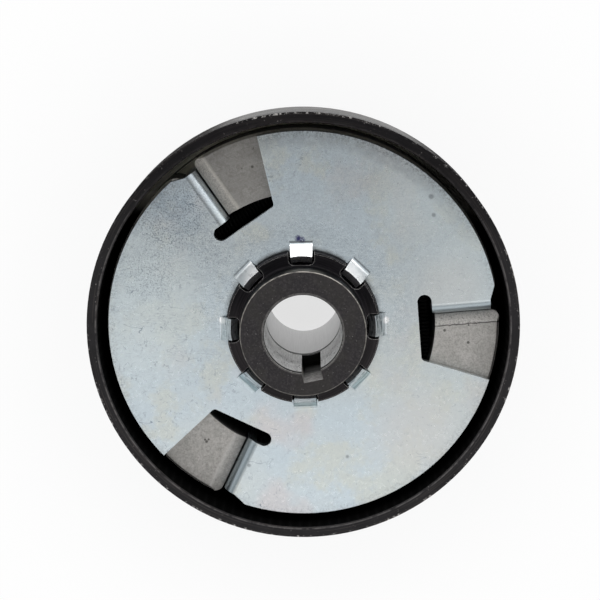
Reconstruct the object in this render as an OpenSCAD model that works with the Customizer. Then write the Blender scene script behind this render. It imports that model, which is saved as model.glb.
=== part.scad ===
// Centrifugal clutch for a small engine: a keyed hub drives a pressed plate, whose three flaps carry
// sintered shoes outwards until they grip the drum, which turns the chain sprocket behind it.
// The clutch axis is +Z and the sprocket's end face is z = 0. Millimetres and degrees.

/* [Shaft] */
// Bore for the engine's shaft
bore_d = 19.05; // [15.875:0.025:20]
// Width of the key
key_w = 4.76; // [3:0.02:6.35]
// Depth of the keyway, from the wall of the bore
key_depth = 2.4; // [1.5:0.1:3]
// Direction of the keyway
key_angle = -76; // [-180:1:180]
// Chamfer at the ends of the bores
bore_chamfer = 0.35; // [0.1:0.05:0.6]

/* [Hub] */
// Distance from the plate's face to the hub's front end
nose = 10.4; // [9:0.1:14]
// Length of the barrel behind the plate
barrel_len = 8.1; // [6:0.1:9]
// Diameter of the neck in front of the lugs
neck_d = 30.9; // [29:0.1:31]
// Radius in the corner between neck and lugs
neck_fillet_r = 0.5; // [0.2:0.1:1]
// Chamfer at the hub's front end
nose_chamfer = 0.3; // [0.1:0.05:0.8]
// Chamfer on the outer edge of the lugs
lug_chamfer = 0.3; // [0.1:0.05:0.6]
// Diameter over the castellated lugs, and of the barrel behind the plate
lug_d = 37.7; // [37:0.1:39]
// Height of the lugs in front of the plate's face
lug_rise = 3.3; // [3:0.1:5]
// How far the face of the lugs falls towards the neck
lug_dish = 0.3; // [0.1:0.05:0.8]
// Number of lugs, notches and tabs
lug_count = 8; // [6:1:8]
// Width of a notch between two lugs
notch_w = 6.4; // [6.2:0.1:7]
// Distance from the axis to the floor of a notch
notch_floor_r = 15.6; // [15.55:0.05:16]
// Corner radius in the floor of a notch
notch_corner_r = 1.4; // [0.2:0.1:1.5]
// Direction of the first notch
notch_angle = 3.2; // [0:0.1:45]
// Diameter of the shoulder that backs the plate
shoulder_d = 45; // [42:0.5:50]
// Thickness of that shoulder
shoulder_t = 2.6; // [1.5:0.1:3.5]

/* [Drive plate] */
// Thickness of the sheet
plate_t = 2.3; // [1.8:0.1:2.5]
// Width of a staked tab at its root
tab_root_w = 5.8; // [4:0.1:6]
// Width of a staked tab at its tip
tab_tip_w = 5.1; // [3.5:0.1:5.2]
// Distance from the axis to the tip of a tab
tab_tip_r = 17.85; // [17.75:0.05:18.4]
// Rise of a tab out of the plate's face
tab_rise = 2.9; // [2.4:0.1:3]
// Angle of a tab to the plate
tab_lean = 48; // [42:1:54]
// Radius on the inside of the bend of a tab
tab_bend_r = 1.6; // [1:0.1:2]
// Radius of the hollow in the tip of a tab
tab_hollow_r = 10; // [9:0.5:20]
// Direction of the first flap's fold
flap_angle = 6.4; // [0:0.1:60]
// Angle of a window, from the flap to the edge that it was cut from
window_angle = 21.2; // [16:0.1:24]
// Distance from the axis to the straight edge of a relief slot
slot_inner_r = 28.5; // [27.5:0.1:29.5]
// Width of a relief slot
slot_w = 3.5; // [3:0.1:4]
// How far the slot's end reaches past the fold
slot_reach = 5.3; // [5:0.1:7]
// Corner radius of the windows
window_corner_r = 1; // [0.3:0.1:1.4]
// Radius on the outside of the fold
fold_r = 2.9; // [2.6:0.1:3.2]
// Depth of the relief in the plate's rim beside a fold
relief_depth = 1.6; // [0.5:0.1:2.5]
// Length of that relief
relief_len = 6.3; // [5:0.1:9]

/* [Shoes] */
// How far a shoe travels to grip the drum
shoe_travel = 1.7; // [1:0.1:2.2]
// Diameter of the shoes' inner arc
shoe_inner_d = 65.5; // [65:0.1:68]
// Thickness of a shoe
shoe_t = 12.7; // [11:0.1:14]
// Width of the bevel at each end of a shoe
end_bevel_w = 2.9; // [1:0.1:4]
// Depth of that bevel
end_bevel_h = 1.1; // [0.3:0.1:2]
// Radius of a shoe's outer corner at the face of a flap
shoe_corner_r = 1.8; // [0.5:0.1:3]
// Radius of a shoe's outer corner behind the next flap
heel_corner_r = 3.5; // [1:0.1:4]
// Chamfer round the friction face
shoe_chamfer = 0.6; // [0.2:0.1:1]

/* [Springs] */
// Outer diameter of a spring
spring_d = 3.2; // [2.6:0.1:3.4]
// Diameter of the spring wire
wire_d = 0.7; // [0.5:0.05:0.8]
// Distance from the shoes' back face to the springs
spring_inset = 4.2; // [3.8:0.1:6]
// Number of turns of a spring
spring_turns = 30; // [16:1:34]
// Diameter of a spring pin
pin_d = 2; // [1.5:0.1:2.2]
// Length of a spring pin
pin_len = 9; // [8:0.1:10]
// How far a spring pin is sunk behind the back face of its shoe
pin_sink = 0.4; // [0.2:0.1:1]
// Depth of a spring pin behind the shoe's inner arc
pin_inset = 1.8; // [1.6:0.1:2.5]
// Chamfer at both ends of a spring pin
pin_chamfer = 0.25; // [0.1:0.05:0.4]

/* [Drum] */
// Outer diameter of the drum
drum_d = 106; // [104:0.5:116]
// Thickness of the drum's sheet
drum_t = 2.5; // [2:0.1:3]
// Depth of the drum, from its rim to the outside of its floor
drum_depth = 23.3; // [22:0.1:25]
// Outer radius of the drum's corner
drum_corner_r = 6.5; // [4:0.1:7]
// Inner radius of the drum's corner
drum_inner_corner_r = 2; // [1:0.1:4]

/* [Sprocket and bushing] */
// Pitch of the chain
pitch = 9.525; // [9:0.005:10]
// Number of teeth
teeth = 12; // [12:1:16]
// Diameter of the chain's rollers
roller_d = 5.08; // [4.8:0.01:5.3]
// Thickness of the toothed plate
tooth_t = 4.3; // [3:0.1:5]
// Chamfer on the tips of the teeth
tooth_chamfer = 0.9; // [0.4:0.1:1.2]
// Distance from the rear end to the toothed plate
tooth_z = 7.2; // [3:0.1:9]
// Distance from the rear end to the drum's floor
rear_len = 22.4; // [20:0.1:26]
// Diameter of the sprocket's hub
sprocket_hub_d = 26.6; // [26:0.1:28]
// Chamfer at the sprocket's rear end
rear_chamfer = 0.6; // [0.2:0.1:1]
// Diameter of the collar behind the drum's floor
collar_d = 36; // [34.5:0.5:42]
// Thickness of that collar
collar_t = 2.6; // [1.5:0.1:4]
// Number of keys staked into the drum's floor
stake_count = 6; // [4:1:8]
// Diameter over those keys
stake_d = 32; // [31:0.2:33]
// Width of one of those keys
stake_w = 6; // [4:0.1:7]
// How far the keys stand proud of the drum's floor
stake_rise = 0.8; // [0.3:0.1:1.2]
// Wall of the bushing
bushing_wall = 1.55; // [1:0.05:1.7]
// Thickness of the thrust washer
washer_t = 1; // [0.6:0.1:1.5]
// Outer diameter of the thrust washer
washer_d = 32; // [30:0.5:37]

/* [Clearances] */
// Gap between the rim of the plate and the drum's wall
plate_rim_gap = 2.4; // [1.8:0.1:3]
// Gap between the plate and the shoes
shoe_gap = 0.3; // [0.2:0.05:0.6]
// Gap between the shoes and the drum's floor
floor_gap = 1.4; // [0.5:0.1:2]
// Gap between the face of a flap and the end of a shoe
flap_gap = 0.4; // [0.25:0.05:0.6]
// Gap left between the shoes and the drum at full travel
drum_gap = 0.2; // [0.15:0.05:0.4]
// Gap between the back of a flap and the heel of a shoe
heel_gap = 1.2; // [0.3:0.1:1.6]
// How much shorter a flap is than the shoes are thick
flap_short = 0.3; // [0.1:0.1:1]
// Radial play between the plate's hole and the lugs
plate_play = 0.1; // [0.05:0.01:0.2]
// Radial play of the bushing on the shaft
running_play = 0.025; // [0.01:0.005:0.1]
// Gap at each face of the thrust washer
washer_gap = 0.1; // [0.05:0.05:0.3]
// Radial play of the thrust washer on the shaft
washer_play = 0.3; // [0.1:0.05:0.5]
// Radial play round the sprocket's keys in the drum's floor
stake_play = 0.05; // [0.02:0.01:0.2]
// Room round a spring in its groove
spring_room = 0.4; // [0.2:0.05:0.5]
// Play of a spring's end loop on its pin
loop_play = 0.1; // [0.02:0.02:0.2]

/* [Hidden] */
$fn = 120;
// Flaps, windows, shoes and springs
flap_count = 3;
// Sides of the spring wire, steps in a turn and steps in an end loop
wire_sides = 5;
turn_steps = 8;
loop_steps = 11;
// Points on a rounded corner
corner_steps = 6;
// How far a cut runs past the face that it opens
cut = 1;
// Angle that an end loop goes round its pin
loop_sweep = 290;
// How far the flanks of the teeth lap over the roller seats
flank_lap = 0.05;
// How far two forms of one piece lap into each other
lap = 0.5;
// How far the rounding of a fold is set off, so that it leaves no edge thinner than the sheet can hold
graze = 0.005;

// Heights along the axis, from the rear end to the front
floor_z = rear_len + drum_t;
shoe_back_z = floor_z + floor_gap;
shoe_front_z = shoe_back_z + shoe_t;
plate_back_z = shoe_front_z + shoe_gap;
plate_front_z = plate_back_z + plate_t;
front_z = plate_front_z + nose;
lug_top_z = plate_front_z + lug_rise;
hub_rear_z = plate_back_z - barrel_len;
washer_z = hub_rear_z - washer_gap - washer_t;
stub_z = washer_z - washer_gap;
rim_z = rear_len + drum_depth;
spring_z = shoe_back_z + spring_inset;
pin_z = shoe_back_z + pin_sink;
flap_end_z = shoe_back_z + flap_short;

// Radii
bore_r = bore_d / 2;
bushing_bore_r = bore_r + running_play;
bushing_r = bushing_bore_r + bushing_wall;
lug_r = lug_d / 2;
neck_r = neck_d / 2;
drum_in_r = drum_d / 2 - drum_t;
plate_r = drum_in_r - plate_rim_gap;
shoe_r = drum_in_r - drum_gap - shoe_travel;
shoe_in_r = shoe_inner_d / 2;
// The chamfer behind the friction face clears the rounded corner of the drum
back_chamfer = max(shoe_chamfer, drum_inner_corner_r - floor_gap);
flap_in_r = slot_inner_r + slot_w;
flap_out_r = plate_r - relief_depth;

// Springs: a line past the inner end of each flap, from pin to pin
spring_line_r = flap_in_r - spring_room - spring_d / 2;
coil_r = (spring_d - wire_d) / 2;
pin_r = shoe_in_r + pin_inset;
pin_side = sqrt(pin_r * pin_r - spring_line_r * spring_line_r);
loop_r = (pin_d + wire_d) / 2 + loop_play;
coil_half = pin_side - loop_r - 2 * wire_d;

// Tabs: where the bend begins, and how far the straight part runs
tab_straight = (tab_rise - tab_bend_r * (1 - cos(tab_lean))) / sin(tab_lean);
tab_root_r = tab_tip_r + tab_bend_r * sin(tab_lean) + tab_straight * cos(tab_lean);

// Standard tooth form of a roller chain: seat radius and outside radius
seat_factor = 0.505;
seat_extra = 0.069;
tip_factor = 0.6;
pitch_r = pitch / 2 / sin(180 / teeth);
seat_r = seat_factor * roller_d + seat_extra * pow(roller_d, 1 / 3);
tip_r = pitch * (tip_factor + 1 / tan(180 / teeth)) / 2;

// Direction of flap i
function flap_dir(i) = flap_angle + i * 360 / flap_count;

// Corner points rounded by arcs. Each corner is [x, y, radius].
function unit(v) = v / norm(v);
function rounded(corners) = [
    for (i = [0:len(corners) - 1])
        let (
            n = len(corners),
            here = [corners[i][0], corners[i][1]],
            before = unit([corners[(i + n - 1) % n][0], corners[(i + n - 1) % n][1]] - here),
            after = unit([corners[(i + 1) % n][0], corners[(i + 1) % n][1]] - here),
            half = acos(before * after) / 2,
            middle = here + unit(before + after) * corners[i][2] / sin(half),
            start = here + before * corners[i][2] / tan(half) - middle,
            end = here + after * corners[i][2] / tan(half) - middle,
            start_angle = atan2(start[1], start[0]),
            turn = (atan2(end[1], end[0]) - start_angle + 540) % 360 - 180
        )
        if (corners[i][2] == 0) here
        else each [
            for (s = [0:corner_steps])
                let (a = start_angle + turn * s / corner_steps)
                middle + corners[i][2] * [cos(a), sin(a)]
        ]
];

// Arc points of a profile, from angle a to angle b
function arc(x, y, r, a, b) = [
    for (s = [0:corner_steps]) let (t = a + (b - a) * s / corner_steps) [x + r * cos(t), y + r * sin(t)]
];

// A ring with chamfered bore ends
module bored_ring(outer_r, inner_r, z0, z1, chamfer) {
    rotate_extrude()
        polygon([
            [inner_r + chamfer, z0],
            [outer_r, z0],
            [outer_r, z1],
            [inner_r + chamfer, z1],
            [inner_r, z1 - chamfer],
            [inner_r, z0 + chamfer]
        ]);
}

module hub_blank() {
    rotate_extrude()
        polygon(concat(
            [
                [bore_r, hub_rear_z + bore_chamfer],
                [bore_r + bore_chamfer, hub_rear_z],
                [lug_r, hub_rear_z],
                [lug_r, plate_back_z - shoulder_t],
                [shoulder_d / 2, plate_back_z - shoulder_t],
                [shoulder_d / 2, plate_back_z],
                [lug_r, plate_back_z],
                [lug_r, lug_top_z - lug_chamfer],
                [lug_r - lug_chamfer, lug_top_z],
                [neck_r + neck_fillet_r, lug_top_z - lug_dish]
            ],
            arc(neck_r + neck_fillet_r, lug_top_z - lug_dish + neck_fillet_r, neck_fillet_r, 270, 180),
            [
                [neck_r, front_z - nose_chamfer],
                [neck_r - nose_chamfer, front_z],
                [bore_r + bore_chamfer, front_z],
                [bore_r, front_z - bore_chamfer]
            ]
        ));
}

// One notch of the castellated flange, open outwards and forwards
module notch() {
    translate([0, 0, plate_back_z])
        linear_extrude(plate_t + lug_rise + cut)
            polygon(rounded([
                [notch_floor_r, -notch_w / 2, notch_corner_r],
                [lug_r + cut, -notch_w / 2, 0],
                [lug_r + cut, notch_w / 2, 0],
                [notch_floor_r, notch_w / 2, notch_corner_r]
            ]));
}

module hub() {
    color([0.2, 0.18, 0.18])
        difference() {
            hub_blank();
            rotate([0, 0, key_angle])
                translate([0, -key_w / 2, hub_rear_z - cut])
                    cube([bore_r + key_depth, key_w, front_z - hub_rear_z + 2 * cut]);
            for (i = [0:lug_count - 1])
                rotate([0, 0, notch_angle + i * 360 / lug_count])
                    notch();
        }
}

// Outline of what is cut away at one flap: the window, its relief slot and the relief in the rim
module window_outline() {
    far = plate_r + cut;
    slot_end_r = slot_w / 2;
    relief_start = [flap_out_r, fold_r];
    relief_end = [sqrt(plate_r * plate_r - relief_len * relief_len), relief_len];
    relief_past = relief_end + cut * unit(relief_end - relief_start);
    polygon(rounded([
        [slot_inner_r, -slot_inner_r * tan(window_angle), window_corner_r],
        [slot_inner_r, slot_reach - slot_end_r, 0],
        [flap_in_r, slot_reach - slot_end_r, 0],
        [flap_in_r, 0, 0],
        [flap_out_r, 0, 0],
        [relief_start[0], relief_start[1], 0],
        [relief_past[0], relief_past[1], 0],
        [far, relief_past[1], 0],
        [far, -far * tan(window_angle), 0]
    ]));
    translate([slot_inner_r + slot_end_r, slot_reach - slot_end_r])
        circle(slot_end_r);
}

// Leg of a flap before the window is cut, let into the sheet from behind
module leg_blank() {
    translate([slot_inner_r, -cut, flap_end_z])
        cube([plate_r - slot_inner_r, plate_t + cut, plate_back_z + lap - flap_end_z]);
}

// What rounds off the outside of a fold
module fold_cut() {
    bend_z = plate_front_z - fold_r;
    translate([slot_inner_r, 0, 0])
        rotate([90, 0, 90])
            linear_extrude(plate_r - slot_inner_r)
                difference() {
                    translate([-cut, bend_z])
                        square(fold_r + cut);
                    translate([fold_r - graze, bend_z + graze])
                        circle(fold_r);
                }
}

// One face of a tab in section, at distance r from the middle of its bend: the bend, then straight on
function tab_face(r, past) = [
    for (i = [0:corner_steps])
        let (a = tab_lean * i / corner_steps)
        [tab_root_r - r * sin(a), plate_front_z + tab_bend_r - r * cos(a)],
    [
        tab_root_r - r * sin(tab_lean) - past * cos(tab_lean),
        plate_front_z + tab_bend_r - r * cos(tab_lean) + past * sin(tab_lean)
    ]
];
function reversed(p) = [for (i = [len(p) - 1:-1:0]) p[i]];

// One tab, bent forwards into its notch, with the arc of the first hole left in its tip
module tab() {
    root_x = tab_root_r + plate_t;
    past = tab_straight + cut;
    difference() {
        intersection() {
            rotate([90, 0, 0])
                linear_extrude(tab_root_w, center = true)
                    polygon(concat(
                        [[root_x, plate_front_z]],
                        tab_face(tab_bend_r, past),
                        reversed(tab_face(tab_bend_r + plate_t, past)),
                        [[root_x, plate_back_z]]
                    ));
            translate([0, 0, plate_back_z])
                linear_extrude(lug_rise + plate_t)
                    polygon([
                        [tab_tip_r - plate_t, -tab_tip_w / 2],
                        [tab_root_r, -tab_root_w / 2],
                        [root_x, -tab_root_w / 2],
                        [root_x, tab_root_w / 2],
                        [tab_root_r, tab_root_w / 2],
                        [tab_tip_r - plate_t, tab_tip_w / 2]
                    ]);
        }
        translate([tab_tip_r, 0, plate_front_z + tab_rise])
            rotate([0, tab_lean, 0])
                translate([-tab_hollow_r, 0, -plate_t - cut])
                    cylinder(h = plate_t + 2 * cut, r = tab_hollow_r);
    }
}

module drive_plate() {
    color([0.68, 0.71, 0.72]) {
        difference() {
            union() {
                translate([0, 0, plate_back_z])
                    cylinder(h = plate_t, r = plate_r);
                for (i = [0:flap_count - 1])
                    rotate([0, 0, flap_dir(i)])
                        leg_blank();
            }
            translate([0, 0, plate_back_z - cut])
                cylinder(h = plate_t + 2 * cut, r = lug_r + plate_play);
            for (i = [0:flap_count - 1])
                rotate([0, 0, flap_dir(i)]) {
                    translate([0, 0, flap_end_z - cut])
                        linear_extrude(plate_front_z - flap_end_z + 2 * cut)
                            window_outline();
                    fold_cut();
                }
            for (i = [0:lug_count - 1])
                rotate([0, 0, notch_angle + i * 360 / lug_count])
                    translate([0, -tab_root_w / 2, plate_back_z - cut])
                        cube([tab_root_r, tab_root_w, plate_t + 2 * cut]);
        }
        for (i = [0:lug_count - 1])
            rotate([0, 0, notch_angle + i * 360 / lug_count])
                tab();
    }
}

module thrust_washer() {
    color([0.12, 0.12, 0.12])
        translate([0, 0, washer_z])
            difference() {
                cylinder(h = washer_t, d = washer_d);
                translate([0, 0, -cut])
                    cylinder(h = washer_t + 2 * cut, r = bore_r + washer_play);
            }
}

// Cuts at one end of a shoe, whose end face lies in the plane y = -side, with the shoe beyond it on -Y
module shoe_end_cuts(side, corner_r) {
    far = shoe_r + 2 * cut;
    corner_y = -side - corner_r;
    corner_x = sqrt(pow(shoe_r - corner_r, 2) - corner_y * corner_y);
    corner = [corner_x, corner_y];
    groove_h = spring_d + 2 * spring_room;
    groove_end = pin_side + loop_r + wire_d / 2 + spring_room;

    // Bevel along the end
    translate([0, -side, shoe_front_z])
        rotate([90, 0, 90])
            linear_extrude(far)
                polygon([
                    [cut, -end_bevel_h * (1 + cut / end_bevel_w)],
                    [cut, cut],
                    [-end_bevel_w * (1 + cut / end_bevel_h), cut]
                ]);
    // Rounded outer corner
    translate([0, 0, shoe_back_z - cut])
        linear_extrude(shoe_t + 2 * cut)
            difference() {
                polygon([corner, [corner_x, cut - side], [far, cut - side], corner * far / norm(corner)]);
                translate(corner)
                    circle(corner_r);
            }
    // Groove for the spring, and the hole for its pin, drilled from the back
    translate([0, -groove_end, spring_z - groove_h / 2])
        cube([flap_in_r, groove_end, groove_h]);
    translate([spring_line_r, -pin_side, shoe_back_z - cut])
        cylinder(h = cut + pin_sink + pin_len, d = pin_d);
}

// Half space of a shoe on the -Y side of the plane y = -side
module shoe_side(side) {
    far = shoe_r + cut;
    translate([-far, -side - far, shoe_back_z - cut])
        cube([2 * far, far, shoe_t + 2 * cut]);
}

// Shoe i fills the sector clockwise of flap i
module shoe(i) {
    step = 360 / flap_count;
    heel_side = plate_t + heel_gap;
    color([0.5, 0.48, 0.46])
        rotate([0, 0, flap_dir(i)])
            difference() {
                intersection() {
                    rotate_extrude()
                        polygon([
                            [shoe_in_r, shoe_back_z],
                            [shoe_r - back_chamfer, shoe_back_z],
                            [shoe_r, shoe_back_z + back_chamfer],
                            [shoe_r, shoe_front_z - shoe_chamfer],
                            [shoe_r - shoe_chamfer, shoe_front_z],
                            [shoe_in_r, shoe_front_z]
                        ]);
                    shoe_side(flap_gap);
                    rotate([0, 0, -step])
                        mirror([0, 1, 0])
                            shoe_side(heel_side);
                }
                shoe_end_cuts(flap_gap, shoe_corner_r);
                rotate([0, 0, -step])
                    mirror([0, 1, 0])
                        shoe_end_cuts(heel_side, heel_corner_r);
            }
}

// Pin that a spring hooks on, clockwise (-1) or anticlockwise (1) of flap i
module spring_pin(i, side) {
    color([0.6, 0.6, 0.6])
        rotate([0, 0, flap_dir(i)])
            translate([spring_line_r, side * pin_side, pin_z])
                rotate_extrude()
                    polygon([
                        [0, 0],
                        [pin_d / 2 - pin_chamfer, 0],
                        [pin_d / 2, pin_chamfer],
                        [pin_d / 2, pin_len - pin_chamfer],
                        [pin_d / 2 - pin_chamfer, pin_len],
                        [0, pin_len]
                    ]);
}

// Centre line of a spring in the frame of its flap: an end loop, the coil and the other loop
function loop_points(at, from) = [
    for (s = [0:loop_steps])
        let (a = from - loop_sweep * s / loop_steps)
        [spring_line_r + loop_r * sin(a), at + loop_r * cos(a), spring_z]
];
function coil_points() = [
    for (s = [0:spring_turns * turn_steps])
        let (a = 360 * s / turn_steps, along = 2 * s / (spring_turns * turn_steps) - 1)
        [spring_line_r + coil_r * cos(a), coil_half * along, spring_z + coil_r * sin(a)]
];
function spring_path() = concat(
    loop_points(-pin_side, 90 + loop_sweep),
    coil_points(),
    loop_points(pin_side, 90)
);

// Direction of a path at each point, and a cross direction carried along it without twist
function path_dirs(p) = [
    for (i = [0:len(p) - 1]) unit(p[min(i + 1, len(p) - 1)] - p[max(i - 1, 0)])
];
function across(v, dir) = unit(v - (v * dir) * dir);
function path_sides(dirs) = [
    for (i = 0, side = across([0, 0, 1], dirs[0]); i < len(dirs);
        i = i + 1, side = across(side, dirs[min(i, len(dirs) - 1)])) side
];

// A round wire swept along a path
module wire(p, r, sides) {
    dirs = path_dirs(p);
    normals = path_sides(dirs);
    count = len(p);
    points = [
        for (i = [0:count - 1])
            for (j = [0:sides - 1])
                let (a = 360 * j / sides)
                p[i] + r * (cos(a) * normals[i] + sin(a) * cross(dirs[i], normals[i]))
    ];
    faces = concat(
        [[for (j = [0:sides - 1]) j]],
        [
            for (i = [0:count - 2])
                for (j = [0:sides - 1])
                    let (a = i * sides + j, b = i * sides + (j + 1) % sides)
                    [a, a + sides, b + sides, b]
        ],
        [[for (j = [0:sides - 1]) count * sides - 1 - j]]
    );
    polyhedron(points, faces);
}

module shoe_spring(i) {
    color([0.35, 0.35, 0.3])
        rotate([0, 0, flap_dir(i)])
            wire(spring_path(), wire_d / 2, wire_sides);
}

// Half section of a round cup with a rounded corner, closed at the bottom
module cup_section(r, bottom, top, corner) {
    translate([0, bottom])
        square([r - corner, top - bottom]);
    translate([0, bottom + corner])
        square([r, top - bottom - corner]);
    translate([r - corner, bottom + corner])
        circle(corner);
}

// The keys that hold the sprocket in the drum's floor
module stake_keys(play, height) {
    intersection() {
        cylinder(h = height, r = stake_d / 2 + play);
        for (i = [0:stake_count - 1])
            rotate([0, 0, i * 360 / stake_count])
                translate([0, -stake_w / 2 - play, 0])
                    cube([stake_d, stake_w + 2 * play, height]);
    }
}

module drum() {
    color([0.16, 0.15, 0.16])
        difference() {
            rotate_extrude()
                difference() {
                    cup_section(drum_d / 2, rear_len, rim_z, drum_corner_r);
                    cup_section(drum_in_r, floor_z, rim_z + cut, drum_inner_corner_r);
                }
            translate([0, 0, rear_len - cut]) {
                cylinder(h = drum_t + 2 * cut, r = sprocket_hub_d / 2 + stake_play);
                stake_keys(stake_play, drum_t + 2 * cut);
            }
        }
}

// Outline of the teeth: flanks are arcs about the neighbouring rollers
module teeth_outline() {
    step = 360 / teeth;
    flank_r = pitch - seat_r + flank_lap;
    difference() {
        union() {
            circle(pitch_r * cos(step / 2));
            for (i = [0:teeth - 1])
                intersection() {
                    circle(tip_r);
                    rotate(i * step)
                        translate([pitch_r, 0])
                            circle(flank_r);
                    rotate((i + 1) * step)
                        translate([pitch_r, 0])
                            circle(flank_r);
                }
        }
        for (i = [0:teeth - 1])
            rotate(i * step)
                translate([pitch_r, 0])
                    circle(seat_r);
    }
}

module sprocket() {
    hub_r = sprocket_hub_d / 2;
    tip_slope = (2 * tooth_chamfer + cut) / 2;
    color([0.3, 0.3, 0.31])
        difference() {
            union() {
                rotate_extrude()
                    polygon([
                        [0, 0],
                        [hub_r - rear_chamfer, 0],
                        [hub_r, rear_chamfer],
                        [hub_r, rear_len - collar_t],
                        [collar_d / 2, rear_len - collar_t],
                        [collar_d / 2, rear_len],
                        [hub_r, rear_len],
                        [hub_r, stub_z],
                        [0, stub_z]
                    ]);
                intersection() {
                    translate([0, 0, tooth_z])
                        linear_extrude(tooth_t)
                            teeth_outline();
                    translate([0, 0, tooth_z])
                        rotate_extrude()
                            polygon([
                                [0, 0],
                                [tip_r - 2 * tooth_chamfer, 0],
                                [tip_r + cut, tip_slope],
                                [tip_r + cut, tooth_t - tip_slope],
                                [tip_r - 2 * tooth_chamfer, tooth_t],
                                [0, tooth_t]
                            ]);
                }
                translate([0, 0, rear_len])
                    stake_keys(0, drum_t + stake_rise);
            }
            translate([0, 0, -cut])
                cylinder(h = stub_z + 2 * cut, r = bushing_r);
        }
}

module bushing() {
    color([0.62, 0.6, 0.56])
        bored_ring(bushing_r, bushing_bore_r, 0, stub_z, bore_chamfer);
}

hub();
drive_plate();
thrust_washer();
shoe(0);  // shoe_1
shoe(1);  // shoe_2
shoe(2);  // shoe_3
spring_pin(0, -1);  // spring_pin_1
spring_pin(0, 1);  // spring_pin_2
spring_pin(1, -1);  // spring_pin_3
spring_pin(1, 1);  // spring_pin_4
spring_pin(2, -1);  // spring_pin_5
spring_pin(2, 1);  // spring_pin_6
shoe_spring(0);  // shoe_spring_1
shoe_spring(1);  // shoe_spring_2
shoe_spring(2);  // shoe_spring_3
drum();
sprocket();
bushing();
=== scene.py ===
import bpy, math
from mathutils import Matrix, Vector


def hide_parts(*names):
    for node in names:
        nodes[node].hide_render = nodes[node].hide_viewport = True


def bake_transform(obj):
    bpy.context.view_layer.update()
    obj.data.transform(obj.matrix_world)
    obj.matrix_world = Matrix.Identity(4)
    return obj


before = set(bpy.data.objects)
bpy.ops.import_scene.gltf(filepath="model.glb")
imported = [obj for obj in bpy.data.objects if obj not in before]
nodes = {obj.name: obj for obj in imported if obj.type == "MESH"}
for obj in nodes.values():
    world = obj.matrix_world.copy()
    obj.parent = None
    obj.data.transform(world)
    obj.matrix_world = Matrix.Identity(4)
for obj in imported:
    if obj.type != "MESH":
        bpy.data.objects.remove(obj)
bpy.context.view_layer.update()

MM = 0.001
# Sizes of the CAD model, in mm, that the materials follow: heights along the axis, then radii
HUB_REAR, PLATE_BACK, PLATE_FRONT, LUG_TOP, FRONT = 31.2, 39.3, 41.6, 44.9, 52.0
FLOOR_Z, RIM_Z = 24.9, 45.7
BORE_R, NECK_R, PLATE_R, DRUM_IN, DRUM_R = 9.525, 15.45, 48.1, 50.5, 53.0
# Radii within which the keyway and the bends of the tabs lie
KEYWAY_REACH, TAB_REACH = 12.5, 22.75
# Directions of the flaps' folds, in degrees, and width of the bevel at a shoe's end
FLAPS = [6.4, 126.4, 246.4]
BEVEL = 3.3


# ------------------------------------------------------------ material helpers
def times(colour, factor):
    return tuple(c * factor for c in colour)


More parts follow.
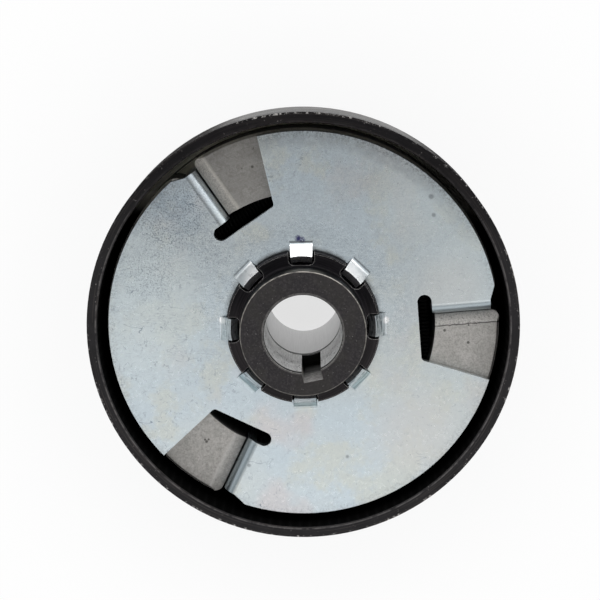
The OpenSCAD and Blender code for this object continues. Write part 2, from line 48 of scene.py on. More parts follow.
class Nodes:
    """A small builder for procedural materials. Lengths are in mm of the row frame."""

    def __init__(self, name, owner=None):
        self.mat = owner or bpy.data.materials.new(name)
        self.mat.use_nodes = True
        self.tree = self.mat.node_tree
        self.tree.nodes.clear()
        self.out = self.tree.nodes.new("ShaderNodeOutputWorld" if owner else "ShaderNodeOutputMaterial")
        if owner is None:
            self.place()

    def place(self):
        """The point that is shaded, its distance from the clutch's axis and its direction."""
        here = self.node("TexCoord").outputs["Object"]
        self.pos = self.node("VectorMath", {0: here, "Scale": 1 / MM}, operation="SCALE").outputs[0]
        self.x, self.y, self.z = self.node("SeparateXYZ", {0: self.pos}).outputs
        self.r = self.distance(self.x, self.y)
        self.angle = self.math("ARCTAN2", self.y, self.x)

    def node(self, kind, ins=None, **props):
        node = self.tree.nodes.new("ShaderNode" + kind)
        for k, v in props.items():
            setattr(node, k, v)
        for k, v in (ins or {}).items():
            self.put(node.inputs[k], v)
        return node

    def put(self, socket, v):
        if isinstance(v, bpy.types.NodeSocket):
            self.tree.links.new(v, socket)
        else:
            socket.default_value = v

    # arithmetic
    def math(self, op, a, b=None):
        node = self.node("Math", {0: a}, operation=op)
        if b is not None:
            self.put(node.inputs[1], b)
        return node.outputs[0]

    def mul(self, first, *others):
        for other in others:
            first = self.math("MULTIPLY", first, other)
        return first

    def most(self, first, *others):
        for other in others:
            first = self.math("MAXIMUM", first, other)
        return first

    def plus(self, a, b):
        return self.math("ADD", a, b)

    def minus(self, a, b):
        return self.math("SUBTRACT", a, b)

    def rest(self, a):
        return self.minus(1.0, a)

    def size(self, a):
        return self.math("ABSOLUTE", a)

    def distance(self, a, b):
        return self.math("SQRT", self.plus(self.mul(a, a), self.mul(b, b)))

    # masks
    def band(self, v, lo, hi, out0=0.0, out1=1.0, smooth=True):
        """From out0 where v is at lo to out1 where it is at hi. lo may lie above hi."""
        return self.node("MapRange", {0: v, 1: lo, 2: hi, 3: out0, 4: out1}, clamp=True,
                         interpolation_type="SMOOTHSTEP" if smooth else "LINEAR").outputs[0]

    def near(self, v, centre, half, soft):
        """1 within half of centre, 0 beyond half + soft."""
        return self.band(self.size(self.minus(v, centre)), half, half + soft, 1.0, 0.0)

    def noise(self, per_mm, detail, rough, seed, stretch=None, where=None):
        v = where or self.pos
        if stretch:
            v = self.node("VectorMath", {0: v, 1: stretch}, operation="MULTIPLY").outputs[0]
        return self.node("TexNoise", {"Vector": v, "W": seed, "Scale": per_mm, "Detail": detail, "Roughness": rough},
                         noise_dimensions="4D").outputs["Fac"]

    def patches(self, per_mm, detail, rough, seed, lo, hi, out0=0.0, out1=1.0, **how):
        """The places where a noise is above lo, at full strength from hi on."""
        return self.band(self.noise(per_mm, detail, rough, seed, **how), lo, hi, out0, out1)

    def turned(self, turns=6.0):
        """Coordinates along the circumference, radius and height, for marks of the lathe."""
        return self.node("CombineXYZ", {0: self.mul(self.angle, turns), 1: self.r, 2: self.z}).outputs[0]

    def stray(self, v, by, per_mm, detail, rough, seed):
        """v, shifted to and fro by a noise whose whole range is worth by."""
        return self.plus(v, self.mul(self.minus(self.noise(per_mm, detail, rough, seed), 0.5), by))

    def strokes(self, per_mm, width, broken, lo, hi, seed, stretch=None):
        """Thin curved lines: the contour of a noise, broken into short strokes by another."""
        line = self.size(self.minus(self.noise(per_mm, 2, 0.5, seed, stretch=stretch), 0.5))
        return self.mul(self.band(line, width, width * 0.4), self.patches(broken, 2, 0.5, seed + 5.0, lo, hi))

    def spot(self, x, y, size, soft):
        """1 round the line parallel to the axis through (x, y), fading out over soft."""
        return self.band(self.distance(self.minus(self.x, x), self.minus(self.y, y)), size, size + soft, 1.0, 0.0)

    def spots(self, *places):
        """The strongest of some spots, each given as x, y, size, soft, strength."""
        return self.most(*(self.mul(self.spot(*place), strength) for *place, strength in places))

    def rounded(self, radius):
        return self.node("Bevel", {"Radius": radius * MM}, samples=6).outputs[0]

    def edge(self, radius, lo, hi):
        """1 along edges, convex or concave."""
        normal = self.node("NewGeometry").outputs["Normal"]
        dot = self.node("VectorMath", {0: self.rounded(radius), 1: normal}, operation="DOT_PRODUCT")
        return self.band(self.rest(dot.outputs["Value"]), lo, hi)

    # colour
    def mix(self, share, a, b):
        node = self.node("Mix", {0: share}, data_type="RGBA", clamp_factor=True)
        for socket, v in ((node.inputs[6], a), (node.inputs[7], b)):
            self.put(socket, (*v, 1.0) if isinstance(v, tuple) else v)
        return node.outputs[2]

    def paint(self, share, colour, strength=None):
        """Lay colour over the material's colour so far."""
        if strength is not None:
            share = self.mul(share, strength)
        self.col = self.mix(share, self.col, colour)

    def finish(self, rough, metal, height, strength, depth, rounding=None, level=None):
        """The material itself: height is a bump of depth mm, edges look rounded by rounding mm."""
        shader = self.node("BsdfPrincipled", {"Base Color": self.col, "Roughness": rough, "Metallic": metal})
        bump = self.node("Bump", {"Strength": strength, "Distance": depth * MM, "Height": height})
        if rounding:
            self.put(bump.inputs["Normal"], self.rounded(rounding))
        self.put(shader.inputs["Normal"], bump.outputs[0])
        if level is not None:
            self.put(shader.inputs["Specular IOR Level"], level)
        self.put(self.out.inputs[0], shader.outputs[0])
        return self.mat


# -------------------------------------------------------------------- materials
def zinc():
    """Zinc-plated sheet: grainy and scribbled on at the upper left, calm and pale below."""
    m = Nodes("zinc_plated_sheet")
    left = m.band(m.x, 10.0, -20.0, 0.35, 1.0)
    upper = m.band(m.y, 20.0, 40.0)
    calm = m.band(m.y, 14.0, -22.0, 1.0, 0.30)

    # the plating: blue to green, with yellow, grey and, below, pink clouds
    blue, green, yellow, grey, pink = ((0.70, 0.785, 0.835), (0.725, 0.775, 0.775), (0.74, 0.765, 0.71),
                                       (0.725, 0.715, 0.705), (0.76, 0.725, 0.73))
    m.col = m.mix(m.patches(0.035, 3, 0.5, 1.3, 0.40, 0.60), blue, green)
    m.paint(m.patches(0.09, 4, 0.6, 4.0, 0.48, 0.62, 0.0, 0.8), yellow)
    m.paint(m.patches(0.06, 3, 0.5, 15.0, 0.55, 0.68, 0.0, 0.6), grey)
    m.paint(m.mul(m.patches(0.05, 3, 0.5, 16.0, 0.54, 0.66), m.band(m.y, -5.0, -25.0, 0.0, 0.8)), pink)

    # its grain, coarse to fine
    grain = m.noise(1.3, 4, 0.6, 2.0)
    slate, dark_slate = (0.46, 0.52, 0.57), (0.34, 0.39, 0.43)
    m.paint(m.patches(0.42, 4, 0.6, 8.0, 0.48, 0.70, 0.0, 0.26), slate, calm)
    m.paint(m.band(grain, 0.32, 0.72, 0.0, 0.36), slate, calm)
    m.paint(m.patches(4.2, 3, 0.6, 2.5, 0.42, 0.70, 0.0, 0.42), dark_slate, calm)

    # painted light: paler at both sides and at the upper right, where the sheet catches more light; warmer in two
    # places at the right
    pale = m.spots((-42.0, 2.0, 6.0, 22.0, 1.0), (42.0, 15.0, 4.0, 14.0, 1.0), (31.0, 34.0, 5.0, 13.0, 0.8))
    m.paint(pale, (0.82, 0.90, 0.91), 0.55)
    warm = m.spots((29.0, -26.0, 4.0, 12.0, 1.0), (36.0, 10.0, 3.0, 10.0, 0.8))
    m.paint(warm, (0.735, 0.725, 0.70), 0.6)

    # stains, specks and short curved strokes, thickest at the upper left
    stained = m.mul(m.spots((-33.0, 30.0, 1.5, 6.5, 1.0), (-28.0, 22.0, 1.0, 7.0, 0.6)),
                    m.patches(0.30, 4, 0.65, 52.0, 0.38, 0.62))
    m.paint(stained, (0.33, 0.41, 0.49), 0.5)
    dense = m.spots((-33.0, 26.5, 4.5, 9.0, 1.0), (-38.0, 12.0, 3.0, 10.0, 0.6), (-24.0, 18.0, 2.0, 9.0, 0.6))
    specks = m.most(m.mul(m.patches(3.0, 3, 0.6, 12.0, 0.52, 0.60), m.band(dense, 0.1, 0.9)),
                    m.patches(2.6, 3, 0.6, 12.5, 0.655, 0.72, 0.0, 0.7))
    m.paint(specks, (0.13, 0.16, 0.20), 0.72)
    hair = m.strokes(0.75, 0.020, 0.5, 0.50, 0.60, 21.0, stretch=(1.0, 0.6, 1.0))
    m.paint(m.mul(hair, left), (0.27, 0.31, 0.36), 0.45)
    fine = m.strokes(1.5, 0.040, 0.35, 0.40, 0.56, 31.0, stretch=(0.35, 2.1, 1.0))
    m.paint(m.mul(fine, left, m.band(m.y, -30.0, 5.0, 0.25, 1.0)), (0.30, 0.34, 0.39), 0.30)
    scratch = m.strokes(0.16, 0.0045, 0.22, 0.56, 0.60, 41.0, stretch=(0.5, 1.3, 1.0))
    m.paint(m.mul(scratch, left), (0.22, 0.27, 0.33), 0.75)
    for x, y, size in ((30.2, 33.0, 0.35), (31.0, 28.5, 0.22), (12.0, -33.0, 0.15), (-12.5, -36.0, 0.2)):
        m.paint(m.spot(x, y, size, 0.5), (0.20, 0.22, 0.24), 0.6)

    # violet ink against the upper tab
    inked = m.mul(m.spots((-1.9, 21.75, 0.35, 0.75, 1.0), (-0.9, 21.45, 0.3, 0.75, 1.0)),
                  m.patches(1.9, 3, 0.6, 3.0, 0.34, 0.5, 0.25, 1.0), m.band(m.z, PLATE_FRONT - 0.3, PLATE_FRONT - 0.1))
    m.paint(inked, (0.035, 0.03, 0.15), 0.95)

    # painted shade round the hub, more of it above, and along the top of the sheet's rim; darker patches along the rim,
    # stronger at the top
    hub_shade = m.mul(m.band(m.r, 20.4, 19.1, 0.0, 0.8), m.band(m.y, -8.0, 12.0, 0.2, 1.0),
                   m.patches(0.5, 4, 0.6, 18.0, 0.35, 0.6, 0.3, 1.0))
    m.paint(hub_shade, (0.27, 0.29, 0.30))
    shade = m.mul(m.band(m.r, PLATE_R - 4.6, PLATE_R - 2.6), m.patches(0.6, 4, 0.65, 53.0, 0.30, 0.58, 0.3, 1.0), upper)
    m.paint(shade, (0.33, 0.36, 0.39), 0.42)
    darker_rim = m.mul(m.band(m.r, PLATE_R - 2.6, PLATE_R - 0.6), m.patches(2.2, 4, 0.7, 6.0, 0.46, 0.60))
    m.paint(darker_rim, (0.20, 0.21, 0.22), m.band(m.y, 20.0, 40.0, 0.25, 0.60))

    # painted shade: the turned down edges of the lower left and right flaps are darker, standing in for a dark
    # reflection
    fold_shade = m.mul(m.spots((-12.5, -37.5, 7.0, 5.0, 1.0), (37.5, 5.0, 9.0, 4.0, 0.8)),
                  m.band(m.z, PLATE_FRONT - 0.005, PLATE_FRONT - 0.12))
    m.paint(fold_shade, (0.37, 0.44, 0.48), 0.85)

    tab = m.mul(m.band(m.z, PLATE_FRONT + 0.04, PLATE_FRONT + 0.35), m.band(m.r, TAB_REACH + 0.25, TAB_REACH - 0.25))
    m.paint(tab, burnished_and_lit_tabs(m))
    # painted highlights: two white glints beside the roots of the right and left tabs
    for x, y in ((20.3, 2.1), (-20.0, 0.9)):
        m.paint(m.spot(x, y, 0.5, 0.6), (1.0, 1.0, 1.0))
    m.paint(m.mul(m.edge(0.12, 0.10, 0.30), m.band(tab, 0.0, 1.0, 0.5, 0.15)), (0.86, 0.89, 0.90))

    # smoother above the hub, and less uneven where the sheet is calm
    smoother = m.mul(m.band(m.r, 27.0, 22.5), m.rest(tab), m.band(m.y, -4.0, 10.0, 0.0, 0.11))
    rough = m.minus(m.band(grain, 0.3, 0.7, 0.26, 0.34, smooth=False), smoother)
    rolled = m.noise(0.9, 3, 0.5, 9.0, stretch=(0.35, 2.4, 1.0))
    height = m.plus(m.mul(m.noise(1.2, 2, 0.5, 59.0), 0.8), m.mul(rolled, 0.5))
    height = m.mul(height, m.band(calm, 0.3, 1.0, 0.25, 1.0))
    return m.finish(rough, 0.96, height, strength=0.18, depth=0.06, rounding=0.13)


def burnished_and_lit_tabs(m):
    """The tabs' colour: burnished by the staking tool, with lines along the bend, and painted light and shade: white at
    the top as a painted highlight, darker and bluer on the lower tabs.
    """
    lines = m.noise(1.0, 3, 0.6, 19.0, stretch=(0.7, 2.2, 2.2), where=m.turned())
    col = m.mix(m.band(lines, 0.46, 0.62), (0.76, 0.81, 0.83), (0.26, 0.30, 0.32))
    col = m.mix(m.patches(1.0, 4, 0.6, 20.0, 0.50, 0.64, 0.0, 0.7), col, (0.86, 0.885, 0.89))
    # painted shade: the lower tabs darker and bluer
    lower_shaded = m.mul(m.band(m.y, 0.0, -8.0), m.band(m.z, PLATE_FRONT + 1.9, PLATE_FRONT + 1.2))
    col = m.mix(lower_shaded, col, m.mix(m.band(lines, 0.40, 0.60), (0.58, 0.68, 0.70), (0.36, 0.44, 0.46)))
    # painted light: the upper tabs a plain grey, and white at their top as a painted highlight
    col = m.mix(m.band(m.y, 4.0, 12.0), col, (0.60, 0.635, 0.65))
    white = m.mul(m.band(m.stray(m.size(m.x), 3.0, 0.5, 3, 0.6, 55.0), 15.8, 12.2), m.band(m.y, 5.0, 9.0))
    col = m.mix(white, col, (0.99, 0.99, 0.99))
    # painted shade along the roots of the side tabs
    root = m.mul(m.near(m.z, PLATE_FRONT + 0.20, 0.08, 0.20), m.patches(0.8, 3, 0.6, 54.0, 0.3, 0.6, 0.5, 1.0),
                 m.band(m.size(m.y), 9.0, 4.0))
    return m.mix(m.mul(root, 0.65), col, (0.42, 0.46, 0.48))


def black_oxide(name, base, wear):
    """The base of the hub's and the drum's material, with its edges worn by wear."""
    m = Nodes(name)
    fine = m.noise(2.2, 6, 0.7, 3.0)
    lathe_marks = m.noise(1.6, 3, 0.6, 1.0, stretch=(0.5, 3.5, 3.5), where=m.turned())
    m.col = m.mix(m.patches(0.25, 3, 0.5, 5.0, 0.35, 0.65), base, times(base, 0.7))
    m.paint(m.band(fine, 0.55, 0.75, 0.0, 0.5), times(base, 2.0))
    m.paint(m.mul(m.edge(0.12, 0.08, 0.30), m.patches(0.9, 4, 0.65, 8.0, 0.36, 0.60)), (0.24, 0.23, 0.22), wear)
    m.rough = m.band(fine, 0.3, 0.7, 0.42, 0.6, smooth=False)
    m.height = m.plus(fine, m.mul(lathe_marks, 0.6))
    return m


def hub_mat():
    m = black_oxide("black_oxide_hub", (0.008, 0.0075, 0.0085), wear=0.75)
    black = (0.002, 0.002, 0.002)

    # the neck is black, with a painted reflection: a tan sheen towards the front at its top
    barrel = m.mul(m.band(m.z, FRONT - 0.25, FRONT - 0.40), m.near(m.r, NECK_R, 0.15, 0.15))
    top_sheen = m.mul(m.band(m.z, FRONT - 4.5, FRONT - 1.0), m.band(m.y, 14.4, 15.4), 0.9)
    m.paint(barrel, m.mix(top_sheen, (0.002, 0.002, 0.0025), (0.075, 0.072, 0.062)))

    # the front face is browner and speckled, with a black chamfer round the bore
    face = m.mul(m.band(m.z, FRONT - 0.2, FRONT - 0.05), m.band(m.r, BORE_R + 0.3, BORE_R + 0.45))
    brown = m.mix(m.patches(1.9, 4, 0.7, 13.0, 0.42, 0.72), (0.022, 0.0195, 0.0215), (0.050, 0.044, 0.0455))
    brown = m.mix(m.patches(0.2, 3, 0.5, 26.0, 0.42, 0.62, 0.0, 0.5), brown, (0.036, 0.033, 0.029))
    brown = m.mix(m.patches(0.55, 4, 0.65, 29.0, 0.52, 0.70, 0.0, 0.4), brown, (0.062, 0.055, 0.056))
    flecks = m.most(m.patches(1.0, 3, 0.6, 14.0, 0.68, 0.74), m.patches(2.6, 2, 0.6, 14.5, 0.66, 0.72))
    m.paint(face, m.mix(m.mul(flecks, 0.6), brown, (0.26, 0.25, 0.24)))
    chamfer = m.mul(m.band(m.r, BORE_R + 0.06, BORE_R + 0.11), m.band(m.r, BORE_R + 0.36, BORE_R + 0.30),
                    m.band(m.z, FRONT - 0.5, FRONT - 0.4))
    m.paint(chamfer, black)

    # rings worn bright: at the outer edge of the face, more so at the top, and round the chamfer
    ring = m.mul(m.near(m.r, NECK_R - 0.22, 0.04, 0.12), m.band(m.z, FRONT - 0.5, FRONT - 0.3),
                 m.patches(0.6, 4, 0.7, 6.0, 0.36, 0.58, 0.2, 1.0), m.band(m.y, -14.0, 14.0, 0.55, 1.0))
    m.paint(ring, (0.38, 0.355, 0.32))
    lip = m.mul(m.near(m.r, BORE_R + 0.46, 0.05, 0.10), m.patches(0.6, 3, 0.6, 16.0, 0.35, 0.6, 0.2, 1.0),
                m.band(m.z, FRONT - 0.12, FRONT - 0.05))
    m.paint(lip, (0.24, 0.23, 0.22), 0.5)

    # lugs: worn along their edges, and blackest at the top with painted shade, paler below
    lug = m.mul(m.band(m.z, LUG_TOP + 0.7, LUG_TOP + 0.3), m.band(m.z, PLATE_BACK - 0.2, PLATE_BACK))
    rub = m.mul(m.edge(0.22, 0.05, 0.16), m.patches(0.7, 4, 0.65, 28.0, 0.30, 0.50, 0.35, 1.0), 0.85)
    marks = m.patches(1.0, 3, 0.6, 56.0, 0.45, 0.65, stretch=(0.25, 4.5, 0.5), where=m.turned())
    lug_shaded = m.mix(m.band(m.y, 9.0, -3.0), m.mix(marks, (0.006, 0.0055, 0.0065), (0.020, 0.018, 0.021)),
                 m.mix(marks, (0.028, 0.025, 0.0265), (0.044, 0.039, 0.041)))
    m.paint(lug, m.mix(rub, lug_shaded, (0.62, 0.60, 0.58)))

    # keyway: pale near the front, and painted shade makes it black further in
    key = m.mul(m.band(m.r, BORE_R + 0.12, BORE_R + 0.2), m.band(m.z, FRONT - 0.02, FRONT - 0.12),
                m.band(m.r, KEYWAY_REACH + 0.1, KEYWAY_REACH - 0.1))
    broached = m.mix(m.patches(1.2, 4, 0.65, 23.0, 0.35, 0.65), (0.36, 0.35, 0.34), (0.16, 0.155, 0.15))
    m.paint(key, m.mix(m.band(m.z, 39.5, 44.5), black, broached))

    # bore: bright and pitted, black along its front edge
    inside = m.band(m.r, BORE_R + 0.05, BORE_R + 0.10, 1.0, 0.0)
    streaks = m.patches(1.0, 4, 0.65, 2.2, 0.3, 0.7, stretch=(9.0, 1.0, 0.25), where=m.turned(8.0))
    bright = m.mix(streaks, (0.56, 0.56, 0.555), (0.87, 0.87, 0.865))
    pits = m.mul(m.patches(1.9, 4, 0.65, 7.7, 0.55, 0.64, stretch=(1.0, 1.0, 0.45)),
                 m.band(m.z, FRONT - 0.5, FRONT - 5.0, 0.8, 1.0),
                 m.band(m.z, HUB_REAR + 3.0, HUB_REAR + 12.0, 0.35, 0.85))
    bright = m.mix(pits, bright, (0.13, 0.13, 0.13))
    m.paint(inside, m.mix(m.band(m.z, FRONT - 1.3, FRONT - 0.9), bright, times(black, 3.0)))

    dull = m.most(chamfer, m.mul(lug, 0.8), m.mul(m.most(key, barrel), 0.7))
    metal = m.mul(m.band(inside, 0.0, 1.0, 0.35, 0.9), m.rest(dull))
    level = m.minus(0.4, m.mul(dull, 0.38))
    return m.finish(m.rough, metal, m.height, strength=0.25, depth=0.05, rounding=0.13, level=level)


def drum_mat():
    m = black_oxide("black_oxide_drum", (0.0160, 0.0144, 0.0158), wear=0.6)

    # rim: turned lines, a painted highlight along its inner edge and dots, all fainter in the upper half, which painted
    # shade makes blacker
    rim = m.band(m.z, RIM_Z - 0.5, RIM_Z - 0.1)
    upper_rim = m.mul(m.band(m.y, 10.0, 40.0), rim)
    m.paint(upper_rim, (0.005, 0.0045, 0.005), 0.5)
    lines = m.patches(1.0, 3, 0.6, 17.0, 0.50, 0.66, stretch=(0.35, 3.2, 0.6), where=m.turned())
    m.paint(m.mul(lines, rim), (0.060, 0.050, 0.046), m.band(m.y, 10.0, 40.0, 0.60, 0.22))
    inner_edge_highlight = m.mul(m.near(m.r, DRUM_IN + 0.35, 0.08, 0.18), m.patches(0.5, 3, 0.6, 35.0, 0.35, 0.6),
                       m.band(m.y, 36.0, 8.0, 0.1, 0.75), rim)
    m.paint(inner_edge_highlight, (0.18, 0.168, 0.165), 0.75)

    # nicks in its outer edge, more of them at the top and below, hardly any at the upper left
    at_top = m.mul(m.band(m.size(m.plus(m.x, 3.0)), 22.0, 10.0), m.band(m.y, 30.0, 40.0, 0.0, 0.05))
    nick = m.plus(m.plus(m.noise(1.1, 4, 0.75, 33.0), m.band(m.y, 5.0, -15.0, 0.0, 0.02)), at_top)
    spared = m.mul(m.band(m.x, -15.0, -20.0, 0.0, 0.9), m.band(m.y, 0.0, 10.0))
    nicks = m.mul(m.band(m.r, DRUM_R - 0.55, DRUM_R - 0.25), m.band(m.z, RIM_Z - 0.9, RIM_Z - 0.4), m.rest(spared),
                  m.band(nick, 0.57, 0.63, 0.0, 0.9))
    m.paint(nicks, (0.50, 0.48, 0.46))
    m.paint(m.mul(m.patches(1.5, 3, 0.6, 34.0, 0.66, 0.71), rim), (0.26, 0.24, 0.23), 0.7)

    # outside wall: behind a ragged black border, banded, with a pale streak, and paler at the top as a painted sheen
    outer = m.band(m.r, DRUM_R - 0.12, DRUM_R - 0.05)
    top = m.mul(m.band(m.size(m.minus(m.x, 3.0)), 30.0, 18.0), m.band(m.y, 30.0, 42.0))
    ragged = m.stray(m.z, 4.0, 0.22, 4, 0.7, 36.0)
    hoops = m.noise(1.0, 3, 0.6, 37.0, stretch=(0.4, 1.0, 1.6), where=m.turned())
    pale = m.mix(m.band(hoops, 0.45, 0.70), (0.022, 0.0205, 0.0205), (0.055, 0.051, 0.050))
    pale = m.mix(m.mul(top, 0.5), pale, (0.11, 0.105, 0.10))
    streak = m.mul(m.near(ragged, RIM_Z - 4.4, 0.3, 1.0), m.patches(0.35, 4, 0.7, 38.0, 0.54, 0.66))
    pale = m.mix(streak, pale, (0.45, 0.43, 0.42))
    m.paint(m.mul(outer, m.band(ragged, RIM_Z - 3.6, RIM_Z - 4.6)), pale)

    # inside: black as painted shade, but for a painted pool of light on the olive floor at the top, crossed by a dark
    # ring of painted shade
    inner = m.mul(m.band(m.r, DRUM_IN + 0.1, DRUM_IN - 0.02), m.band(m.z, RIM_Z - 0.15, RIM_Z - 0.5),
                  m.band(m.z, FLOOR_Z - 0.3, FLOOR_Z - 0.1))
    shaded_ring = m.mul(m.near(m.r, 48.3, 0.10, 0.15), 0.8)
    lit_sweep = m.mul(m.band(m.y, 24.0, 30.0), m.band(m.x, 38.0, 15.0, 0.25, 1.0), m.band(m.r, 45.5, 46.8),
                  m.band(m.z, FLOOR_Z + 17.0, FLOOR_Z + 12.0),
                  m.patches(1.0, 3, 0.6, 57.0, 0.30, 0.50, 0.7, 1.0, stretch=(0.25, 1.2, 1.2), where=m.turned()),
                  m.rest(shaded_ring))
    olive = m.mix(m.noise(0.5, 4, 0.6, 3.3), (0.90, 0.87, 0.74), (0.97, 0.95, 0.85))
    m.paint(inner, m.mix(lit_sweep, (0.001, 0.001, 0.001), olive))

    # dull inside, on the outer wall but for its top, and on the upper half of the rim
    dull = m.most(m.mul(inner, m.rest(lit_sweep)), m.mul(outer, m.rest(top)), m.mul(upper_rim, 0.8))
    top_sheen = m.mul(outer, top, m.band(hoops, 0.40, 0.65), 0.15)
    level = m.plus(m.minus(0.4, m.mul(dull, 0.38)), top_sheen)
    rough = m.plus(m.rough, m.minus(m.mul(dull, 0.3), top_sheen))
    metal = m.minus(0.35, m.mul(dull, 0.33))
    return m.finish(rough, metal, m.height, strength=0.35, depth=0.08, rounding=0.2, level=level)


# What differs from shoe to shoe: its painted light and shade (a factor on its colour), its pits (x, y, size), the
# colour and strength of its swirls and of its bevel (painted light and shade), how far the painted line along the
# bevel's edge wanders, and that line's colour, half width, softness and strength
SHOES = {
    1: dict(painted_light=1.23, pits=((35.1, -0.6, 0.22), (41.1, -3.5, 0.22), (41.0, 0.9, 0.12)),
            swirl=((0.26, 0.245, 0.225), 0.22), bevel=((0.66, 0.64, 0.61), 0.65),
            wander=0.8, edge_line=((0.06, 0.055, 0.05), 0.07, 0.16, 0.85)),
    2: dict(painted_light=0.72, pits=((-13.6, 38.7, 0.20), (-20.5, 24.2, 0.2)),
            swirl=((0.19, 0.18, 0.165), 0.34), bevel=((0.58, 0.55, 0.50), 0.75),
            wander=0.3, edge_line=((0.60, 0.57, 0.52), 0.15, 0.50, 0.5)),
    3: dict(painted_light=1.25, pits=((-23.8, -30.4, 0.16), (-23.4, -30.9, 0.22), (-22.9, -30.3, 0.12)),
            swirl=((0.26, 0.245, 0.225), 0.22), bevel=((0.36, 0.35, 0.335), 0.45),
            wander=0.4, edge_line=((0.64, 0.62, 0.60), 0.20, 0.55, 0.5)),
}


def sintered(i, fold):
    """Grey, porous metal, with a bevel along the end that lies at the flap."""
    shoe = SHOES[i]
    m = Nodes("sintered_shoe_%d" % i)
    grain = m.noise(2.1, 6, 0.75, 1.0 + i)
    m.col = m.mix(m.patches(0.22, 3, 0.5, 2.0 + i, 0.35, 0.65), times((0.430, 0.415, 0.395), shoe["painted_light"]),
                  times((0.49, 0.473, 0.452), shoe["painted_light"]))
    m.paint(m.band(grain, 0.40, 0.68, 0.0, 0.6), (0.25, 0.235, 0.215))
    m.paint(m.patches(5.0, 2, 0.6, 3.0 + i, 0.52, 0.70, 0.0, 0.45), (0.17, 0.16, 0.148))
    lines = m.patches(1.0, 3, 0.6, 7.0, 0.5, 0.75, 0.0, 0.25, stretch=(0.5, 4.0, 1.0), where=m.turned(5.0))
    m.paint(lines, (0.56, 0.54, 0.51))
    m.paint(m.strokes(0.55, 0.06, 0.30, 0.35, 0.55, 58.0 + i), *shoe["swirl"])
    pits = m.patches(1.3, 3, 0.55, 5.0 + i, 0.69, 0.74)
    for x, y, size in shoe["pits"]:
        pits = m.most(pits, m.spot(x, y, size, 0.25))
    m.paint(pits, (0.06, 0.055, 0.05), 0.8)

    # the bevel, by the distance from that end; its colour and the line along its edge are painted light and shade, as
    # each shoe's bevel faces the light differently
    a = math.radians(fold)
    from_end = m.minus(m.mul(m.x, math.sin(a)), m.mul(m.y, math.cos(a)))
    from_end = m.stray(from_end, shoe["wander"], 0.6, 3, 0.6, 9.0)
    bevel = m.band(from_end, BEVEL + 0.1, BEVEL - 0.1)
    m.paint(m.mul(bevel, m.patches(3.0, 3, 0.7, 11.0 + i, 0.42, 0.60, 0.1, 1.0)), *shoe["bevel"])
    if i == 1:
        m.paint(m.mul(bevel, m.patches(2.2, 3, 0.65, 60.0, 0.53, 0.63)), (0.17, 0.16, 0.15), 0.6)
    colour, half, soft, strength = shoe["edge_line"]
    edge_line = m.mul(m.near(from_end, BEVEL, half, soft), m.patches(0.9, 3, 0.6, 10.0, 0.3, 0.5, 0.55, 1.0))
    m.paint(edge_line, colour, strength)

    # painted shade: the walls behind the front face are darkened
    m.paint(m.band(m.z, PLATE_BACK - 1.1, PLATE_BACK - 2.0, 0.0, 0.8), (0.02, 0.02, 0.021))
    return m.finish(m.band(grain, 0.3, 0.7, 0.42, 0.58, smooth=False), 0.7, m.minus(grain, m.mul(pits, 0.6)),
                    strength=0.4, depth=0.09, rounding=0.2)


def plain_metal(name, lo, hi, rough=0.4, metal=0.8, lathed=False, level=0.5):
    m = Nodes(name)
    grain = m.noise(1.8, 5, 0.65, 1.0)
    if lathed:
        marks = m.noise(1.0, 4, 0.6, 3.0, stretch=(0.6, 4.0, 4.0), where=m.turned(4.0))
    else:
        marks = m.noise(0.4, 3, 0.5, 3.0)
    m.col = m.mix(m.band(marks, 0.3, 0.7), lo, hi)
    m.paint(m.band(grain, 0.5, 0.8, 0.0, 0.35), times(lo, 0.5))
    m.paint(m.edge(0.2, 0.03, 0.2), tuple(min(1.0, c * 1.6 + 0.1) for c in hi), 0.5)
    return m.finish(m.band(grain, 0.3, 0.7, rough - 0.06, rough + 0.08, smooth=False), metal, marks,
                    strength=0.2, depth=0.04, rounding=0.15, level=level)


def bushing_mat():
    m = Nodes("bushing_bore")
    streak = m.noise(1.0, 4, 0.6, 5.0, stretch=(9.0, 1.0, 0.12), where=m.turned(8.0))
    m.col = m.mix(m.band(streak, 0.3, 0.7), (0.60, 0.60, 0.60), (0.68, 0.68, 0.68))
    return m.finish(0.44, 0.9, streak, strength=0.07, depth=0.03)


def assign(obj, mat):
    obj.data.materials.clear()
    obj.data.materials.append(mat)


mats = {
    "drive_plate": zinc(), "hub": hub_mat(), "drum": drum_mat(), "bushing": bushing_mat(),
    "sprocket": plain_metal("sprocket_steel", (0.10, 0.10, 0.105), (0.16, 0.16, 0.165), rough=0.42, lathed=True),
    "thrust_washer": plain_metal("washer_steel", (0.012, 0.012, 0.012), (0.02, 0.02, 0.02), rough=0.5, lathed=True),
}
for i, fold in enumerate(FLAPS):
    mats["shoe_%d" % (i + 1)] = sintered(i + 1, fold)
pin_mat = plain_metal("pin_steel", (0.2, 0.2, 0.2), (0.3, 0.3, 0.3))
spring_mat = plain_metal("spring_wire", (0.006, 0.006, 0.006), (0.010, 0.010, 0.009), rough=0.7, metal=0.1, level=0.1)
for name, obj in nodes.items():
    assign(obj, mats.get(name) or (pin_mat if name.startswith("spring_pin") else spring_mat))

# ---------------------------------------------------------------------- springs
# Two halves each, split in the middle of the coil. As in the CAD model, in mm: distance of the springs
# from the axis, height, half the distance of the pins, radius of the loops and of the coil, half the coil's length
LINE, SPRING_Z, PIN_SIDE, LOOP_R, COIL_R, COIL_HALF, WIRE_R, TURNS = 30.0, 30.5, 17.138, 1.45, 1.25, 14.288, 0.35, 30
TURN_STEPS, LOOP_STEPS, LOOP_SWEEP, WIRE_SIDES = 16, 24, 290, 8
SHARP = math.radians(32)


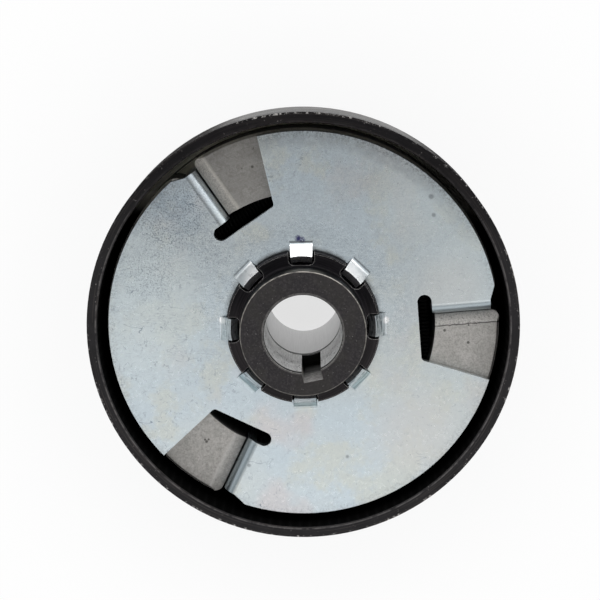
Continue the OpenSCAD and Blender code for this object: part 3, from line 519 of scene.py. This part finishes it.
def half_spring(name, fold, side):
    """From the middle of the coil to the loop on the pin at side -1 or 1, with the ends that it stretches between."""
    c, s = math.cos(math.radians(fold)), math.sin(math.radians(fold))

    def placed(out, along, z):
        return Vector((out * c - along * s, out * s + along * c, z))

    path = []
    coil_steps = TURN_STEPS * TURNS // 2
    for k in range(coil_steps + 1):
        a = math.pi * TURNS + side * 2 * math.pi * k / TURN_STEPS
        out, z = LINE + COIL_R * math.cos(a), SPRING_Z + COIL_R * math.sin(a)
        path.append(placed(out, side * COIL_HALF * k / coil_steps, z))
    for k in range(LOOP_STEPS + 1):
        a = math.radians(90 - side * LOOP_SWEEP * k / LOOP_STEPS)
        path.append(placed(LINE + LOOP_R * math.sin(a), side * PIN_SIDE + LOOP_R * math.cos(a), SPRING_Z))

    verts, faces = [], []
    across = Vector((0, 0, 1))
    for k, p in enumerate(path):
        ahead = (path[min(k + 1, len(path) - 1)] - path[max(k - 1, 0)]).normalized()
        across = (across - ahead * across.dot(ahead)).normalized()
        other = ahead.cross(across)
        for q in range(WIRE_SIDES):
            a = 2 * math.pi * q / WIRE_SIDES
            verts.append((p + WIRE_R * (math.cos(a) * across + math.sin(a) * other)) * MM)
        if k:
            b = (k - 1) * WIRE_SIDES
            for q in range(WIRE_SIDES):
                t = (q + 1) % WIRE_SIDES
                faces.append((b + q, b + t, b + WIRE_SIDES + t, b + WIRE_SIDES + q))
    faces.append(tuple(range(WIRE_SIDES))[::-1])
    faces.append(tuple(len(verts) - WIRE_SIDES + q for q in range(WIRE_SIDES)))
    mesh = bpy.data.meshes.new(name)
    mesh.from_pydata(verts, [], faces)
    mesh.validate()
    mesh.shade_smooth()
    mesh.set_sharp_from_angle(angle=SHARP)
    obj = bpy.data.objects.new(name, mesh)
    bpy.context.scene.collection.objects.link(obj)
    assign(obj, spring_mat)
    return obj, [placed(LINE, along, SPRING_Z) * MM for along in (0.0, side * (PIN_SIDE - LOOP_R - WIRE_R))]


for i, fold in enumerate(FLAPS):
    for side, shoe in ((-1, i + 1), (1, (i + 1) % 3 + 1)):
        half, ends = half_spring("shoe_spring_%d%s" % (i + 1, "a" if side < 0 else "b"), fold, side)
        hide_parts("shoe_spring_%d" % (i + 1))
        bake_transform(half)

# ------------------------------------------------------------------------ stage
# Floor: white in the picture and in reflections, and whitest far out; painted shade makes it a little less white near
# the part; it keeps the part's shadow
floor_mat = Nodes("pale_floor")
ray = floor_mat.node("LightPath").outputs
seen = floor_mat.most(ray["Is Camera Ray"], ray["Is Glossy Ray"], ray["Is Transmission Ray"])
white = floor_mat.node("Emission", {"Color": (1, 1, 1, 1), "Strength": 1.0})
matte = floor_mat.node("BsdfDiffuse", {"Color": (0.93, 0.93, 0.93, 1)})
share = floor_mat.plus(floor_mat.band(floor_mat.r, 14.0, 60.0, 0.72, 0.88),
                       floor_mat.band(floor_mat.r, 60.0, 110.0, 0.0, 0.08))
both = floor_mat.node("MixShader", {0: floor_mat.mul(seen, share), 1: matte.outputs[0], 2: white.outputs[0]})
floor_mat.put(floor_mat.out.inputs[0], both.outputs[0])
FLOOR_HALF, FLOOR_DROP = 3.0, 0.0001
floor_mesh = bpy.data.meshes.new("floor")
corners = [(x * FLOOR_HALF, y * FLOOR_HALF, -FLOOR_DROP) for x, y in ((-1, -1), (1, -1), (1, 1), (-1, 1))]
floor_mesh.from_pydata(corners, [], [(0, 1, 2, 3)])
floor_mesh.materials.append(floor_mat.mat)
floor = bpy.data.objects.new("floor", floor_mesh)
bpy.context.scene.collection.objects.link(floor)

# A white tent round the object, open towards the camera, by the direction in which a ray leaves
world = bpy.data.worlds.new("tent")
bpy.context.scene.world = world
tent = Nodes("tent", world)
wx, wy, wz = tent.node("SeparateXYZ", {0: tent.node("TexCoord").outputs["Generated"]}).outputs
# ahead: dark behind the camera, paler downwards
ahead = tent.minus(tent.band(wy, -0.012, -0.33, 0.0, 1.24, smooth=False), tent.band(wy, -0.42, -0.65, 0.0, 0.40))
ahead = tent.mul(ahead, tent.rest(tent.mul(wx, 0.10)), tent.band(tent.size(wx), 0.02, 0.13, 1.0, 1.07))
# the walls at the sides and the bright top, with a gap low down
side = tent.most(tent.band(wx, 0.20, 0.55, 0.0, 0.95), tent.band(wx, -0.20, -0.55, 0.0, 0.72))
above = tent.band(wy, 0.22, 0.60, 0.0, 0.95)
gap = tent.mul(tent.near(wz, 0.78, 0.035, 0.05), tent.band(wy, 0.3, 0.0), 0.8)
level = tent.mul(tent.most(ahead, 0.12, side, above), tent.rest(gap))
low_top = tent.mul(tent.band(wy, 0.40, 0.70), tent.band(wz, 0.62, 0.35), 1.1)
level = tent.plus(level, low_top)
# plain white to the camera
by_camera = tent.node("LightPath").outputs["Is Camera Ray"]
level = tent.math("MINIMUM", tent.most(level, by_camera), tent.minus(2.0, by_camera))
sky = tent.node("Background", {"Color": (0.985, 0.995, 1.0, 1), "Strength": level})
tent.put(tent.out.inputs[0], sky.outputs[0])

# A wide, weak lamp above the object, in the picture's sense
lamp = bpy.data.lights.new("overhead", "AREA")
lamp.shape = "RECTANGLE"
lamp.size, lamp.size_y, lamp.energy = 0.9, 0.5, 1.2
lamp_obj = bpy.data.objects.new("overhead", lamp)
bpy.context.scene.collection.objects.link(lamp_obj)
LAMP_AT, LAMP_TO = Vector((0.05, 0.62, 0.30)), Vector((0, 0, 0.04))
lamp_obj.location = LAMP_AT
lamp_obj.rotation_euler = (LAMP_TO - LAMP_AT).to_track_quat("-Z", "Y").to_euler()

# ----------------------------------------------------------------------- camera
# In front of the clutch, a little above its axis and rolled a little, as fitted to the photograph's circles
TILT, ROLL, DISTANCE = math.radians(10.399), math.radians(1.695), 0.432477
CAMERA_TO = Vector((-0.00099, 0.00835, FRONT * MM))
back = Vector((0, math.sin(TILT), math.cos(TILT)))
level_right, level_up = Vector((1, 0, 0)), Vector((0, math.cos(TILT), -math.sin(TILT)))
right = level_right * math.cos(ROLL) + level_up * math.sin(ROLL)
up = level_up * math.cos(ROLL) - level_right * math.sin(ROLL)
camera_data = bpy.data.cameras.new("camera")
camera_data.sensor_width = 36.0
camera_data.lens = 108.0
camera_data.clip_start = 0.01
camera = bpy.data.objects.new("camera", camera_data)
bpy.context.scene.collection.objects.link(camera)
camera.matrix_world = Matrix.Translation(CAMERA_TO + back * DISTANCE) @ Matrix((right, up, back)).transposed().to_4x4()
bpy.context.scene.camera = camera
bpy.context.scene.view_settings.view_transform = "Standard"

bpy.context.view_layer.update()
